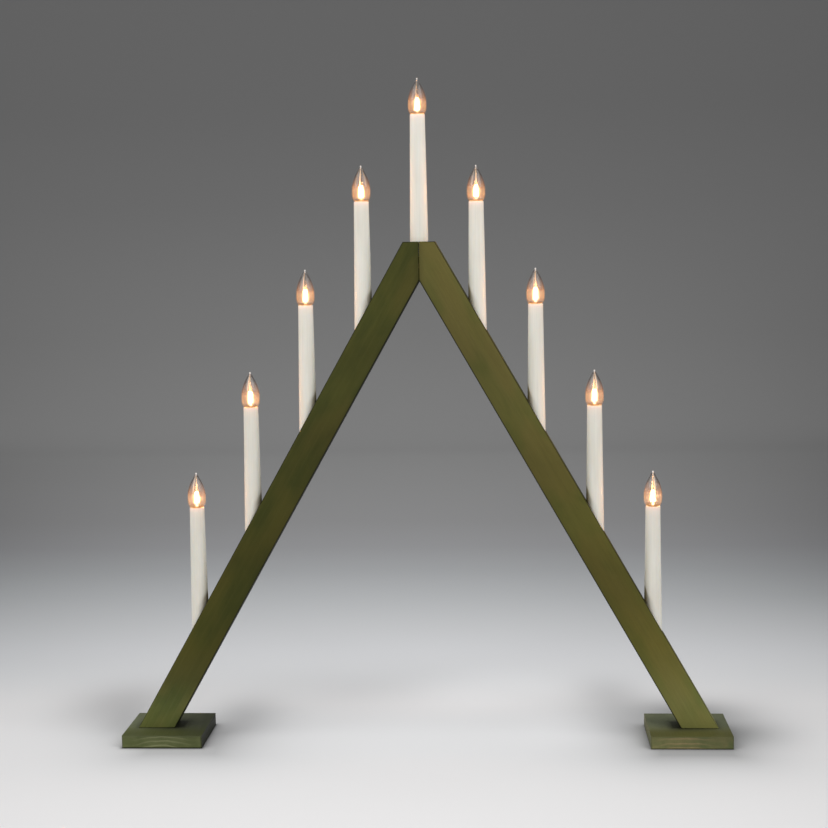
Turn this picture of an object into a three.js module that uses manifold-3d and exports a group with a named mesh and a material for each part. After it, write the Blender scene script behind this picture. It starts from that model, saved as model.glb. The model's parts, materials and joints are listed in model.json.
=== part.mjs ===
// Advent candle holder. Two straight wooden legs are mitred into a pointed arch, and each stands on
// a square foot. Nine electric candles stand upright in it: one in the apex and four in the outer
// edge of each leg. Each candle is a tapered tube with a lampholder in its top, and a small
// candle-shaped screw-in bulb. The wires run in a covered groove along each leg's inner edge.
// Millimetres, +Z up, the front faces -Y, and the origin is on the floor midway between the feet.

import * as THREE from 'three';
import { mergeVertices } from 'three/addons/utils/BufferGeometryUtils.js';
import Module from 'manifold-3d';

// Wooden frame
const apexHeight = 434.4; // from the floor to the level cut across the apex
const apexFlatWidth = 27.2; // width of that level cut
const legLean = 29.6; // degrees from upright
const legWidth = 28.2; // across the leg's front face
const legDepth = 22; // from front to back
const legArris = 0.6; // sanded edge of the legs
const mitreGap = 0.3; // glue line between the legs at the apex
const footLength = 70;
const footDepth = 70;
const footThickness = 11;
const footArris = 0.9; // sanded edge of the feet
const footToe = 9.6; // foot that shows beyond the leg's outer corner

// Places of the candles
const candlesPerLeg = 4;
const firstCandleOffset = 49; // from the centre line to the nearest candle of each leg
const candlePitch = 49.8; // level distance from each candle to the next
const apexSeatDepth = 13.1; // depth of the apex candle's hole
const leftSeatDepth = 23.3; // depth of the left leg's holes, from its outer edge on the hole's axis
const rightSeatDepth = 24.5; // the same in the right leg

// Candle tube
const tubeLength = 120;
const tubeWall = 0.75;
const tubeBottomDiameter = 16.1;
const tubeRimRound = 0.35; // eased outer edge of the rim
const tubeLip = 1.1; // thickness of the inward lip that the lampholder stops against

// Screw-in bulb and its lampholder
const capDiameter = 9.5; // over the screw cap's thread
const capWall = 0.4;
const capLength = 9.3;
const capBelowRim = 1; // from the tube's rim down to the cap's top edge
const insulatorHeight = 1.3;
const insulatorBottomDiameter = 6.2;
const contactDiameter = 4.2;
const contactHeight = 1.2;
const bulbDiameter = 15.6;
const bulbHeight = 30.5; // from the tube's rim to the tip
const bulbWidestHeight = 8.5; // from the tube's rim to the widest place
const bulbTipDiameter = 1.3; // drawn-out glass tip
const bulbTipLength = 1.4;
const bulbShoulderPower = 3; // fullness of the curve from the neck to the widest place
const glassWall = 0.7;
const neckDepth = 4.5; // glass neck inside the cap
const stemDiameter = 3;
const stemHeight = 3; // from the tube's rim to the top of the mount that holds the filament
const filamentPeaks = 4; // the filament goes up and down round the axis, like the points of a crown
const filamentLow = 4; // from the tube's rim to its low corners
const filamentHeight = 13.6; // from the tube's rim to its peaks
const filamentLowRadius = 1.9;
const filamentPeakRadius = 1.3;
const filamentSweep = 300; // degrees from its first upright length to its last
const filamentWire = 0.55;
const holderWall = 0.45;
const holderFloor = 2.2;

// Groove, wires and cord entry
const grooveWidth = 6.6;
const grooveDepth = 7.5;
const coverThickness = 2;
const wireDiameter = 2.2;
const wireHoleDiameter = 6;
const glandHeight = 32; // from the floor to the centre of the cord entry
const glandDiameter = 4.8;
const glandBore = 3;
const glandFlangeDiameter = 7;
const glandFlangeThickness = 1.2;

// Screws and dowels
const screwDiameter = 3.5;
const screwHeadDiameter = 7;
const screwHeadHeight = 2.2;
const screwLength = 33;
const screwTipLength = 4;
const screwRecess = 0.5; // head below the foot's underside
const screwSpacing = 13; // from the front screw to the rear one
const dowelDiameter = 5;
const dowelLength = 18;
const dowelSpacing = 14.4; // from the front dowel to the rear one
const dowelAboveCrotch = 13; // from the point where the inner edges meet

// Clearances
const seatGap = 0.3; // between a piece and what it stops against
const tubeFit = 0.3; // around a tube in its hole
const threadFit = 0.3; // around the screw cap in the lampholder
const lipFit = 0.35; // around the screw cap in the tube's lip
const holderFit = 0.15; // around the lampholder in the tube
const cementFit = 0.2; // around the glass neck in the cap
const fastenerFit = 0.2; // around screws and dowels
const coverFit = 0.3; // beside the cover strip in its groove
const glandFit = 0.2;

// Steps of the round shapes
const roundSides = 16;
const smallSides = 10;
const wireSides = 6;
const shoulderSteps = 3;
const ogiveSteps = 4;
const innerShoulderSteps = 2;
const innerOgiveSteps = 3;
const filamentSides = 3;
const beyond = 5; // how far a cutting shape runs past what it cuts

// Sizes that follow from the ones above
const lean = THREE.MathUtils.degToRad(legLean);
const slope = Math.tan(lean);
const legRun = legWidth / Math.cos(lean);
const capRadius = capDiameter / 2;
const holderBoreRadius = capRadius + threadFit;
const holderRadius = holderBoreRadius + holderWall;
const tubeTopRadius = holderRadius + holderFit + tubeWall;
const tubeBottomRadius = tubeBottomDiameter / 2;
const seatRadius = tubeBottomRadius + tubeFit;
const capBottom = -capBelowRim - capLength;
const insulatorBottom = capBottom - insulatorHeight;
const contactTop = insulatorBottom - seatGap;
const contactBottom = contactTop - contactHeight;
const holderTop = -tubeLip - seatGap;
const holderFloorTop = contactBottom - seatGap;
const holderBottom = holderFloorTop - holderFloor;
const wireInset = coverThickness + seatGap + wireDiameter / 2;
const crotchHeight = innerEdgeHeight(0);
const dowelHeight = crotchHeight + dowelAboveCrotch;
const screwX = (innerEdgeX(footThickness) + outerEdgeX(screwRecess + screwLength)) / 2;
const footCentreX = outerEdgeX(footThickness) + footToe - footLength / 2;

const finishes = {
  darkStainedWood: { color: 0x47451f, roughness: 0.62, metalness: 0 },
  stainedWood: { color: 0x5f5b31, roughness: 0.62, metalness: 0 },
  stainedFoot: { color: 0x5b6040, roughness: 0.66, metalness: 0 },
  bareWood: { color: 0xc9a878, roughness: 0.8, metalness: 0 },
  ivoryPlastic: { color: 0xe4ded6, roughness: 0.28, metalness: 0 },
  blackPlastic: { color: 0x18181a, roughness: 0.45, metalness: 0 },
  whiteInsulation: { color: 0xd8d8d4, roughness: 0.5, metalness: 0 },
  nickelledBrass: { color: 0xc9c2b0, roughness: 0.3, metalness: 1 },
  solder: { color: 0xa9a9a6, roughness: 0.4, metalness: 1 },
  zincPlatedSteel: { color: 0xb4b3ab, roughness: 0.35, metalness: 1 },
  clearGlass: { color: 0xfff1e0, roughness: 0.05, metalness: 0, transparent: true, opacity: 0.3 },
};

const wasm = await Module();
wasm.setup();

// Level distance from the centre line to a leg's outer edge at a height, and the other way round.
function outerEdgeX(height) {
  return apexFlatWidth / 2 + (apexHeight - height) * slope;
}

function outerEdgeHeight(x) {
  return apexHeight - (x - apexFlatWidth / 2) / slope;
}

// The same for a line inside the leg that runs along its inner edge, an inset away from it.
function innerEdgeX(height, inset = 0) {
  return outerEdgeX(height) - legRun + inset / Math.cos(lean);
}

function innerEdgeHeight(x, inset = 0) {
  return outerEdgeHeight(x + legRun - inset / Math.cos(lean));
}

// Closed three.js geometry as a solid that can be joined and cut.
function toSolid(geometry) {
  geometry.deleteAttribute('normal');
  geometry.deleteAttribute('uv');
  const merged = mergeVertices(geometry);
  const corners = merged.index.array;
  const triangles = [];
  for (let i = 0; i < corners.length; i += 3) {
    const [a, b, c] = corners.slice(i, i + 3);
    if (a !== b && b !== c && c !== a) triangles.push(a, b, c);
  }
  const vertProperties = new Float32Array(merged.attributes.position.array);
  return new wasm.Manifold(
    new wasm.Mesh({ numProp: 3, vertProperties, triVerts: new Uint32Array(triangles) }),
  );
}

function toGeometry(solid) {
  const { vertProperties, triVerts } = solid.getMesh();
  const geometry = new THREE.BufferGeometry();
  geometry.setAttribute('position', new THREE.BufferAttribute(vertProperties, 3));
  geometry.setIndex(new THREE.BufferAttribute(triVerts, 1));
  geometry.computeVertexNormals();
  return geometry;
}

function cut(geometry, tools) {
  const body = tools.reduce((rest, tool) => rest.subtract(toSolid(tool)), toSolid(geometry));
  return toGeometry(body);
}

function join(geometries) {
  const [first, ...others] = geometries.map(toSolid);
  return toGeometry(others.reduce((whole, other) => whole.add(other), first));
}

// Solid of revolution about Z from a list of [radius, height] pairs.
function turned(profile, sides = roundSides) {
  const points = profile.map(([radius, height]) => new THREE.Vector2(radius, height));
  return new THREE.LatheGeometry(points, sides).rotateX(Math.PI / 2);
}

function cylinder(radius, bottom, top, sides = roundSides) {
  const profile = [
    [0, bottom],
    [radius, bottom],
    [radius, top],
    [0, top],
  ];
  return turned(profile, sides);
}

// Outline of [x, z] pairs on the side of a leg, given a depth in Y that is centred on the leg.
function prism(outline, depth, side, arris = 0) {
  const corners = outline.map(([x, z]) => new THREE.Vector2(side * x, z));
  const bevel = {
    bevelEnabled: arris > 0,
    bevelThickness: arris,
    bevelSize: arris,
    bevelOffset: -arris,
    bevelSegments: 1,
  };
  const length = depth - 2 * arris;
  const geometry = new THREE.ExtrudeGeometry(new THREE.Shape(corners), { depth: length, ...bevel });
  return geometry.rotateX(Math.PI / 2).translate(0, length / 2, 0);
}

function rod(from, to, diameter) {
  const along = new THREE.Vector3().subVectors(to, from);
  const turn = new THREE.Quaternion().setFromUnitVectors(
    new THREE.Vector3(0, 1, 0),
    along.clone().normalize(),
  );
  const middle = new THREE.Vector3().addVectors(from, to).multiplyScalar(0.5);
  return new THREE.CylinderGeometry(diameter / 2, diameter / 2, along.length(), wireSides)
    .applyQuaternion(turn)
    .translate(middle.x, middle.y, middle.z);
}

function piece(name, geometry, finish) {
  const mesh = new THREE.Mesh(geometry, new THREE.MeshStandardMaterial(finishes[finish]));
  mesh.name = name;
  return mesh;
}

// Candle number 1 is the lowest on the left, and the middle one stands in the apex.
function candlePlaces() {
  const places = [];
  for (let step = -candlesPerLeg; step <= candlesPerLeg; step++) {
    const side = Math.sign(step);
    const distance = step === 0 ? 0 : firstCandleOffset + (Math.abs(step) - 1) * candlePitch;
    const legSeatDepth = side < 0 ? leftSeatDepth : rightSeatDepth;
    const floorHeight =
      step === 0 ? apexHeight - apexSeatDepth : outerEdgeHeight(distance) - legSeatDepth;
    places.push({
      number: step + candlesPerLeg + 1,
      side,
      distance,
      x: side * distance,
      floorHeight,
      rimHeight: floorHeight + seatGap + tubeLength,
    });
  }
  return places;
}

// A leg is cut level at the apex and at the foot, and upright at the mitre.
function legOutline() {
  return [
    [mitreGap / 2, apexHeight],
    [apexFlatWidth / 2, apexHeight],
    [outerEdgeX(footThickness), footThickness],
    [innerEdgeX(footThickness), footThickness],
    [mitreGap / 2, innerEdgeHeight(mitreGap / 2)],
  ];
}

// A strip along the inner edge, between two insets and from the foot to the mitre.
function innerStrip(fromInset, toInset, bottom, mitreX) {
  return [
    [innerEdgeX(bottom, fromInset), bottom],
    [mitreX, innerEdgeHeight(mitreX, fromInset)],
    [mitreX, innerEdgeHeight(mitreX, toInset)],
    [innerEdgeX(bottom, toInset), bottom],
  ];
}

function candleHole({ x, floorHeight, distance }) {
  const grooveFloor = innerEdgeHeight(distance, grooveDepth);
  const seat = cylinder(seatRadius, floorHeight, apexHeight + beyond);
  const wireHole = cylinder(wireHoleDiameter / 2, grooveFloor - beyond, floorHeight + beyond);
  return [seat.translate(x, 0, 0), wireHole.translate(x, 0, 0)];
}

function dowelBody(y, clearance) {
  const radius = dowelDiameter / 2 + clearance;
  const half = dowelLength / 2 + clearance;
  return cylinder(radius, -half, half, smallSides)
    .rotateY(Math.PI / 2)
    .translate(0, y, dowelHeight);
}

// Countersunk screw, point up. A clearance makes it the shape that its hole has.
function screwBody(side, y, clearance) {
  const headRadius = screwHeadDiameter / 2 + clearance;
  const shankRadius = screwDiameter / 2 + clearance;
  const headBottom = clearance > 0 ? -beyond : screwRecess;
  const tip = screwRecess + screwLength + clearance;
  const profile = [
    [0, headBottom],
    [headRadius, headBottom],
    [headRadius, screwRecess + clearance],
    [shankRadius, screwRecess + screwHeadHeight + clearance],
    [shankRadius, tip - screwTipLength],
    [0, tip],
  ];
  const used = clearance > 0 ? profile : profile.filter((_, place) => place !== 2);
  return turned(used, smallSides).translate(side * screwX, y, 0);
}

function screwPlaces() {
  return [
    ['front', -screwSpacing / 2],
    ['rear', screwSpacing / 2],
  ];
}

function dowelPlaces() {
  return [
    ['front', -dowelSpacing / 2],
    ['rear', dowelSpacing / 2],
  ];
}

function glandX() {
  return innerEdgeX(glandHeight, grooveDepth / 2);
}

function glandHole(side) {
  return cylinder(glandDiameter / 2 + glandFit, 0, legDepth, smallSides)
    .rotateX(-Math.PI / 2)
    .translate(side * glandX(), 0, glandHeight);
}

function leg(side) {
  const candles = candlePlaces().filter((place) => place.side === side || place.side === 0);
  const groove = innerStrip(-beyond, grooveDepth, footThickness - beyond, -beyond);
  const tools = [
    ...candles.flatMap(candleHole),
    prism(groove, grooveWidth, side),
    ...dowelPlaces().map(([, y]) => dowelBody(y, fastenerFit)),
    ...screwPlaces().map(([, y]) => screwBody(side, y, fastenerFit)),
  ];
  if (side < 0) tools.push(glandHole(side));
  return cut(prism(legOutline(), legDepth, side, legArris), tools);
}

function foot(side) {
  const outline = [
    [footCentreX - footLength / 2, 0],
    [footCentreX + footLength / 2, 0],
    [footCentreX + footLength / 2, footThickness],
    [footCentreX - footLength / 2, footThickness],
  ];
  return cut(
    prism(outline, footDepth, side, footArris),
    screwPlaces().map(([, y]) => screwBody(side, y, fastenerFit)),
  );
}

// The strip that closes the groove lies flush with the leg's inner edge.
function grooveCover(side) {
  const strip = innerStrip(0, coverThickness, footThickness + seatGap, mitreGap);
  return prism(strip, grooveWidth - 2 * coverFit, side);
}

// The two wires of a leg are drawn as one lead in the groove, with a branch up into each candle.
function wiring(side) {
  const candles = candlePlaces().filter((place) => place.side === side);
  const trunkPoint = (x) => new THREE.Vector3(side * x, 0, innerEdgeHeight(x, wireInset));
  const branch = ({ x, distance, rimHeight }) =>
    rod(
      trunkPoint(distance),
      new THREE.Vector3(x, 0, rimHeight + holderBottom - seatGap),
      wireDiameter,
    );
  const furthestCandle = Math.max(...candles.map((place) => place.distance));
  const lowest = side < 0 ? Math.max(glandX(), furthestCandle) : furthestCandle;
  const highest = side < 0 ? wireDiameter * 1.5 : 0;
  const branches = candles.map(branch);
  if (side > 0) branches.push(branch(candlePlaces().find((place) => place.side === 0)));
  return join([rod(trunkPoint(lowest), trunkPoint(highest), wireDiameter), ...branches]);
}

// Flanged bushing in the rear of the left leg, where the supply cord goes in.
function cordGland() {
  const depth = (legDepth - grooveWidth) / 2;
  const profile = [
    [glandBore / 2, -depth],
    [glandDiameter / 2, -depth],
    [glandDiameter / 2, seatGap],
    [glandFlangeDiameter / 2, seatGap],
    [glandFlangeDiameter / 2, seatGap + glandFlangeThickness],
    [glandBore / 2, seatGap + glandFlangeThickness],
    [glandBore / 2, -depth],
  ];
  return turned(profile, smallSides)
    .rotateX(-Math.PI / 2)
    .translate(-glandX(), legDepth / 2, glandHeight);
}

// The parts of a candle are made about its own axis, with height 0 at the tube's rim.
function candleTube() {
  const lipRadius = capRadius + lipFit;
  const profile = [
    [lipRadius, -tubeLip],
    [holderRadius + holderFit, -tubeLip],
    [tubeBottomRadius - tubeWall, -tubeLength],
    [tubeBottomRadius, -tubeLength],
    [tubeTopRadius, -tubeRimRound],
    [tubeTopRadius - tubeRimRound, 0],
    [lipRadius, 0],
    [lipRadius, -tubeLip],
  ];
  return turned(profile);
}

function lampholder() {
  const profile = [
    [0, holderBottom],
    [holderRadius, holderBottom],
    [holderRadius, holderTop],
    [holderBoreRadius, holderTop],
    [holderBoreRadius, holderFloorTop],
    [0, holderFloorTop],
  ];
  return turned(profile);
}

// The bulb widens from the neck in a full curve, then closes to the tip in one long arc.
function bulbOutline(neckRadius, widestRadius, tipRadius, tipHeight, lowerSteps, upperSteps) {
  const outline = [];
  const shoulder = bulbWidestHeight - seatGap;
  for (let i = 0; i < lowerSteps; i++) {
    const angle = ((i / lowerSteps) * Math.PI) / 2;
    const down = Math.cos(angle) ** (2 / bulbShoulderPower);
    const out = Math.sin(angle) ** (2 / bulbShoulderPower);
    const radius = neckRadius + (widestRadius - neckRadius) * out;
    outline.push([radius, bulbWidestHeight - shoulder * down]);
  }
  const rise = tipHeight - bulbWidestHeight;
  const drop = widestRadius - tipRadius;
  const arcRadius = (rise ** 2 + drop ** 2) / (2 * drop);
  const sweep = Math.asin(rise / arcRadius);
  for (let i = 0; i <= upperSteps; i++) {
    const angle = (i / upperSteps) * sweep;
    const radius = widestRadius - arcRadius * (1 - Math.cos(angle));
    outline.push([radius, bulbWidestHeight + arcRadius * Math.sin(angle)]);
  }
  return outline;
}

function bulbGlass() {
  const neckRadius = capRadius - capWall - cementFit;
  const tipRadius = bulbTipDiameter / 2;
  const tipBottom = bulbHeight - bulbTipLength;
  const outside = bulbOutline(
    neckRadius,
    bulbDiameter / 2,
    tipRadius,
    tipBottom,
    shoulderSteps,
    ogiveSteps,
  );
  const inside = bulbOutline(
    neckRadius - glassWall,
    bulbDiameter / 2 - glassWall,
    0,
    tipBottom - glassWall * 3,
    innerShoulderSteps,
    innerOgiveSteps,
  );
  const neckBottom = -capBelowRim - neckDepth;
  const profile = [
    ...inside.reverse(),
    [neckRadius - glassWall, neckBottom],
    [neckRadius, neckBottom],
    ...outside,
    [tipRadius * 0.8, bulbHeight - tipRadius],
    [0, bulbHeight],
  ];
  return turned(profile);
}

// Corners of the filament, from the top of its glass mount and back to it.
function filamentCorners() {
  const uprights = 2 * filamentPeaks;
  const place = (upright, radius, height) => {
    const angle = THREE.MathUtils.degToRad((upright / (uprights - 1)) * filamentSweep);
    return new THREE.Vector3(radius * Math.cos(angle), radius * Math.sin(angle), height);
  };
  const rootRadius = stemDiameter / 2 - filamentWire;
  const corners = [place(0, rootRadius, stemHeight - filamentWire)];
  for (let upright = 0; upright < uprights; upright++) {
    const low = place(upright, filamentLowRadius, filamentLow);
    const peak = place(upright, filamentPeakRadius, filamentHeight);
    corners.push(...(upright % 2 === 0 ? [low, peak] : [peak, low]));
  }
  corners.push(place(uprights - 1, rootRadius, stemHeight - filamentWire));
  return corners;
}

// Wire through a list of points. It keeps its section from each bend to the next.
function bentWire(points, radius, sides) {
  const directions = points
    .slice(1)
    .map((point, i) => new THREE.Vector3().subVectors(point, points[i]).normalize());
  const across = new THREE.Vector3(directions[0].y, -directions[0].x, 0).normalize();
  let ring = [];
  for (let i = 0; i < sides; i++) {
    const spoke = across.clone().applyAxisAngle(directions[0], (i / sides) * 2 * Math.PI);
    ring.push(spoke.multiplyScalar(radius).add(points[0]));
  }
  const rings = [ring];
  for (let i = 1; i < points.length; i++) {
    const arriving = directions[i - 1];
    const normal = arriving.clone().add(directions[i] ?? arriving);
    ring = ring.map((point) => {
      const left = new THREE.Vector3().subVectors(points[i], point).dot(normal);
      return point.clone().addScaledVector(arriving, left / arriving.dot(normal));
    });
    rings.push(ring);
  }
  return tubeSkin(rings);
}

// Closed skin over rings of points, with a fan over each end.
function tubeSkin(rings) {
  const sides = rings[0].length;
  const faces = [];
  for (let row = 0; row + 1 < rings.length; row++) {
    for (let i = 0; i < sides; i++) {
      const [a, b] = [row * sides + i, row * sides + ((i + 1) % sides)];
      faces.push(a, b, b + sides, a, b + sides, a + sides);
    }
  }
  const last = (rings.length - 1) * sides;
  for (let i = 1; i + 1 < sides; i++) faces.push(0, i + 1, i, last, last + i, last + i + 1);
  const geometry = new THREE.BufferGeometry().setFromPoints(rings.flat());
  geometry.setIndex(faces);
  return geometry;
}

// Screw cap with its insulator, the glass mount inside it and the filament.
function bulbBase() {
  const innerRadius = capRadius - capWall;
  const profile = [
    [0, insulatorBottom],
    [insulatorBottomDiameter / 2, insulatorBottom],
    [capRadius, capBottom],
    [capRadius, -capBelowRim],
    [innerRadius, -capBelowRim],
    [innerRadius, -capBelowRim - neckDepth - seatGap],
    [stemDiameter / 2, -capBelowRim - neckDepth - seatGap],
    [stemDiameter / 2, stemHeight],
    [0, stemHeight],
  ];
  return join([turned(profile), bentWire(filamentCorners(), filamentWire / 2, filamentSides)]);
}

function bulbContact() {
  const profile = [
    [0, contactBottom],
    [contactDiameter / 4, contactBottom],
    [contactDiameter / 2, contactTop - contactHeight / 3],
    [contactDiameter / 2, contactTop],
    [0, contactTop],
  ];
  return turned(profile, smallSides);
}

function candle({ number, x, rimHeight }) {
  const group = new THREE.Group();
  group.position.set(x, 0, rimHeight);
  group.add(
    piece(`candle_tube_${number}`, candleTube(), 'ivoryPlastic'),
    piece(`lampholder_${number}`, lampholder(), 'blackPlastic'),
    piece(`bulb_${number}_glass`, bulbGlass(), 'clearGlass'),
    piece(`bulb_${number}_base`, bulbBase(), 'nickelledBrass'),
    piece(`bulb_${number}_contact`, bulbContact(), 'solder'),
  );
  return group;
}

function halfFrame(word, side, legFinish) {
  const group = new THREE.Group();
  group.add(
    piece(`${word}_leg`, leg(side), legFinish),
    piece(`${word}_foot`, foot(side), 'stainedFoot'),
    piece(`${word}_groove_cover`, grooveCover(side), legFinish),
    piece(`${word}_wiring`, wiring(side), 'whiteInsulation'),
  );
  for (const [place, y] of screwPlaces()) {
    const name = `${word}_foot_screw_${place}`;
    group.add(piece(name, screwBody(side, y, 0), 'zincPlatedSteel'));
  }
  return group;
}

const holder = new THREE.Group();
holder.add(halfFrame('left', -1, 'darkStainedWood'), halfFrame('right', 1, 'stainedWood'));
for (const [place, y] of dowelPlaces()) {
  holder.add(piece(`apex_dowel_${place}`, dowelBody(y, 0), 'bareWood'));
}
holder.add(piece('cord_gland', cordGland(), 'blackPlastic'));
for (const place of candlePlaces()) holder.add(candle(place));

export default holder;
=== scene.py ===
# Looks of the advent candle holder: two stained wooden legs on square feet, with nine lit electric candles.

import json
import math

import bpy
import numpy as np
from mathutils import Matrix, Vector

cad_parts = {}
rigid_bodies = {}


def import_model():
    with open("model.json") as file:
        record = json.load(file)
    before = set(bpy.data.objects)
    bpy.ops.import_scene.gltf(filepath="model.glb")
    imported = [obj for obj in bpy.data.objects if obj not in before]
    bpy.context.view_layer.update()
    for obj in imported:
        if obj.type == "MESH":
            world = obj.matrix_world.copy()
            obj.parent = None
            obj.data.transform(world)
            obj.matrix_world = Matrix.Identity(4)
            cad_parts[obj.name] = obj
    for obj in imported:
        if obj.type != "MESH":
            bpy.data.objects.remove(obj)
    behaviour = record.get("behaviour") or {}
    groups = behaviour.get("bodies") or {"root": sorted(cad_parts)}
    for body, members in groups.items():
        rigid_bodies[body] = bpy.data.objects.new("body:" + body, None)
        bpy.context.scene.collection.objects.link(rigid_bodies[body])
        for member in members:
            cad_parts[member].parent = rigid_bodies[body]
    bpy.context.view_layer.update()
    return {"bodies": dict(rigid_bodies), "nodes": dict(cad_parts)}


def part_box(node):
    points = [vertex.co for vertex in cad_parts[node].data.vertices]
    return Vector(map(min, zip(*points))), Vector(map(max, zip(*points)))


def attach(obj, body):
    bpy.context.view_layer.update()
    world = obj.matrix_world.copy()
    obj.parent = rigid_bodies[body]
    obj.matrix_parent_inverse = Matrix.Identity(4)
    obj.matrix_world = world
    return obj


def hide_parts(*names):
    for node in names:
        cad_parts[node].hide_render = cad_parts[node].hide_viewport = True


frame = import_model()

MM = 0.001

# Sizes in millimetres. Heights of a candle's pieces count from the rim of its tube.
LEG_LEAN = 29.6
LEG_WIDTH = 28.2
LEG_INNER_EDGE = 198.2  # from the origin to the inner edge, square to it
TUBE_LENGTH = 120.0
TUBE_BOTTOM_RADIUS = 8.05
TUBE_TOP_RADIUS = 6.4
TUBE_RIM_ROUND = 0.35
TUBE_LIP_RADIUS = 5.1
TUBE_LIP = 1.1
TUBE_LIP_ROUND = 0.25
TUBE_INSIDE_RADIUS = 5.65
TUBE_WALL = 0.75
HOLDER_RADIUS = 5.5
HOLDER_TOP = -1.4
HOLDER_FLOOR_TOP = -13.4
HOLDER_BOTTOM = -15.6
HOLDER_RIBS = 6
HOLDER_RIB_HEIGHT = 0.12
THREAD_PITCH = 1.814
THREAD_DEPTH = 0.42
THREAD_CREST = 4.75
THREAD_CLEARANCE = 0.2
CAP_TOP = -1.0
CAP_BOTTOM = -10.3
CAP_WALL = 0.4
INSULATOR_BOTTOM = -11.6
CONTACT_TOP = -11.9
CONTACT_BOTTOM = -13.1
CONTACT_RADIUS = 2.1
GLASS_NECK_RADIUS = 4.15
GLASS_NECK_BOTTOM = -5.5
GLASS_WIDEST_HEIGHT = 8.5
GLASS_WIDEST_RADIUS = 7.8
GLASS_TIP_RADIUS = 0.65
GLASS_TIP_BOTTOM = 29.1
GLASS_TOP = 30.5
GLASS_WALL = 0.5
MOUNT_RADIUS = 1.5
MOUNT_TOP = 3.0
FILAMENT_LOW = 4.0
FILAMENT_HIGH = 13.6
FILAMENT_LOW_RADIUS = 1.9
FILAMENT_HIGH_RADIUS = 1.3
FILAMENT_PEAKS = 4
FILAMENT_SWEEP = 300.0
FILAMENT_BEND = 0.5  # how near the points are that round a bend
COIL_PITCH = 0.42
COIL_RADIUS = 0.2
COIL_WIRE_RADIUS = 0.085
LEAD_WIRE_RADIUS = 0.13
LEAD_WIRE_FOOT = -3.0
GLAND_BORE_RADIUS = 1.5
GLAND_RADIUS = 2.4
GLAND_FLANGE = 1.2
GLAND_ROUND = 0.5
SCREW_RADIUS = 1.75
SCREW_HEAD_RADIUS = 3.5
SCREW_HEAD_HEIGHT = 2.2
SCREW_PLAIN = 9.0  # from the head's face to the thread's start
SCREW_PITCH = 1.5
SCREW_THREAD_DEPTH = 0.45
RECESS_HALF_WIDTH = 0.62
RECESS_REACH = 2.2
RECESS_DEPTH = 1.5
FOOT_SIDE = 70.0

# Least radius of a ring next to a pole, and the facets round each kind of piece
POLE_RADIUS = 0.02
CANDLE_SIDES = 96
SMALL_SIDES = 64
MOUNT_SIDES = 48
CONTACT_SIDES = 40

# Warm light in each bulb: its sizes in millimetres, its colour and its power
BULB_LIGHT_HEIGHT = 9.0
BULB_LIGHT_RADIUS = 3.0
BULB_LIGHT_COLOUR = (1.0, 0.42, 0.16)
BULB_LIGHT_POWER = 0.035

# A leg's lower end on its foot, in metres: how far it is from the middle, and half its width and depth
LEG_END_MIDDLE = 0.2379
LEG_END_HALF = 0.0162
LEG_HALF_DEPTH = 0.011

# Paper sweep, in metres: the front edge of its floor, where it bends up, the bend's radius, its top and half
# its width
SWEEP_FRONT = -3.0
SWEEP_BEND = 2.0
SWEEP_RADIUS = 0.8
SWEEP_TOP = 3.6
SWEEP_HALF_WIDTH = 3.5

# Soft light on each side: its place and target in metres, the length of its sides and its power
SOFT_BOX_ASIDE = 1.3
SOFT_BOX_DEPTH = -0.9
SOFT_BOX_HEIGHT = 1.5
SOFT_BOX_TARGET = (0, 0, 0.2)
SOFT_BOX_SIDE = 1.5
SOFT_BOX_POWER = 13

# Camera: its place in metres, its angles in degrees, and its lens and sensor in millimetres
CAMERA_PLACE = (0.07099, -1.35962, 0.42730)
CAMERA_YAW = -3.2704
CAMERA_PITCH = 5.9067
CAMERA_ROLL = -0.8875
CAMERA_LENS = 68.87
CAMERA_SENSOR = 36.0

# Range in which most values of a noise texture lie
NOISE_LOW = 0.3
NOISE_HIGH = 0.7

# Stretch of the paper that its colours below are spread over, in metres back from the object's middle
PAPER_START = -0.4
PAPER_SPAN = 4.0

# Colour of the backdrop at each distance back along the paper, in metres, with a painted fall-off of light
PAPER_PAINTED_FALLOFF = [
    (-0.4, (0.825, 0.825, 0.825)),
    (0.10, (0.825, 0.825, 0.825)),
    (0.20, (0.750, 0.765, 0.775)),
    (0.30, (0.700, 0.715, 0.730)),
    (0.42, (0.620, 0.635, 0.646)),
    (0.57, (0.521, 0.537, 0.547)),
    (0.73, (0.428, 0.440, 0.449)),
    (0.90, (0.368, 0.371, 0.379)),
    (1.12, (0.345, 0.345, 0.347)),
    (1.57, (0.354, 0.354, 0.352)),
    (1.90, (0.362, 0.362, 0.359)),
    (2.20, (0.315, 0.315, 0.312)),
    (2.60, (0.252, 0.252, 0.249)),
    (3.00, (0.206, 0.206, 0.204)),
    (3.50, (0.190, 0.190, 0.188)),
]

# How fast a painted shade darkens the backdrop to the sides, and from which place, at each distance back
PAPER_SIDE_SHADE = [
    (-0.4, 0.60, 0.03),
    (0.25, 0.98, 0.03),
    (0.57, 1.12, 0.08),
    (0.90, 0.94, 0.10),
    (1.12, 0.75, 0.11),
    (1.43, 0.57, 0.14),
    (1.80, 0.42, 0.17),
    (2.20, 0.24, 0.25),
    (2.60, 0.18, 0.28),
    (3.00, 0.07, 0.39),
    (3.40, 0.04, 0.58),
]

# Painted shadow round each foot on the backdrop: middle and strength, half the side of its square, and reach
FOOT_SHADES = [(-0.210, -0.020, 0.35), (0.231, -0.020, 0.48)]
FOOT_SHADE_HALF = 0.030
FOOT_SHADE_REACH = 0.032

# Thin painted contact shadow on the backdrop round each foot: the foot's middle and its strength, and its
# reach
FOOT_CONTACT_SHADOWS = [(-0.2287, 0.78), (0.2287, 0.30)]
CONTACT_SHADOW_REACH = 0.0015
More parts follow.
